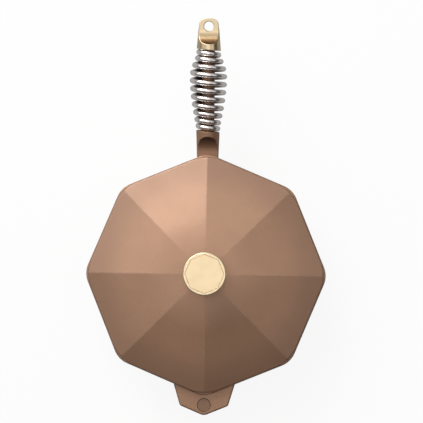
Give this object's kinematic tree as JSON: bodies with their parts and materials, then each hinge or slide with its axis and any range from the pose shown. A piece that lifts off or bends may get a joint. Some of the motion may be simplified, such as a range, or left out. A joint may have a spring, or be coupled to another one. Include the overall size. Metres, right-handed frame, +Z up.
{
  "type": "cast iron skillet with lid",
  "caption": "Eight-sided cast iron skillet with a faceted lid that lifts off, a brass lid knob, a coiled wire handle with a brass end cap, and a helper tab.",
  "frame": {"origin": "centre of the pan's flat underside", "axes": "+Z up, +Y along the handle away from the pan, +X to the right when looking along the handle"},
  "size_m": [0.2792, 0.4613, 0.1127],
  "materials": {
    "seasoned_iron": "fine cast grain with a bronze-brown seasoned finish",
    "polished_steel": "polished stainless wire",
    "plain_steel": "turned steel",
    "brass": "turned and satin polished pale brass"
  },
  "bodies": {
    "skillet": {"pan_casting": "seasoned_iron", "handle_coil": "polished_steel", "end_cap": "brass", "cap_stud": "plain_steel"},
    "lid": {"lid_casting": "seasoned_iron", "lid_knob": "brass", "knob_screw": "plain_steel", "knob_washer": "plain_steel"}
  },
  "joints": [
    {"name": "lid_lift", "type": "slide", "parent": "skillet", "child": "lid", "axis": [0, 0, 1], "range_m": [0, 0.12]}
  ]
}
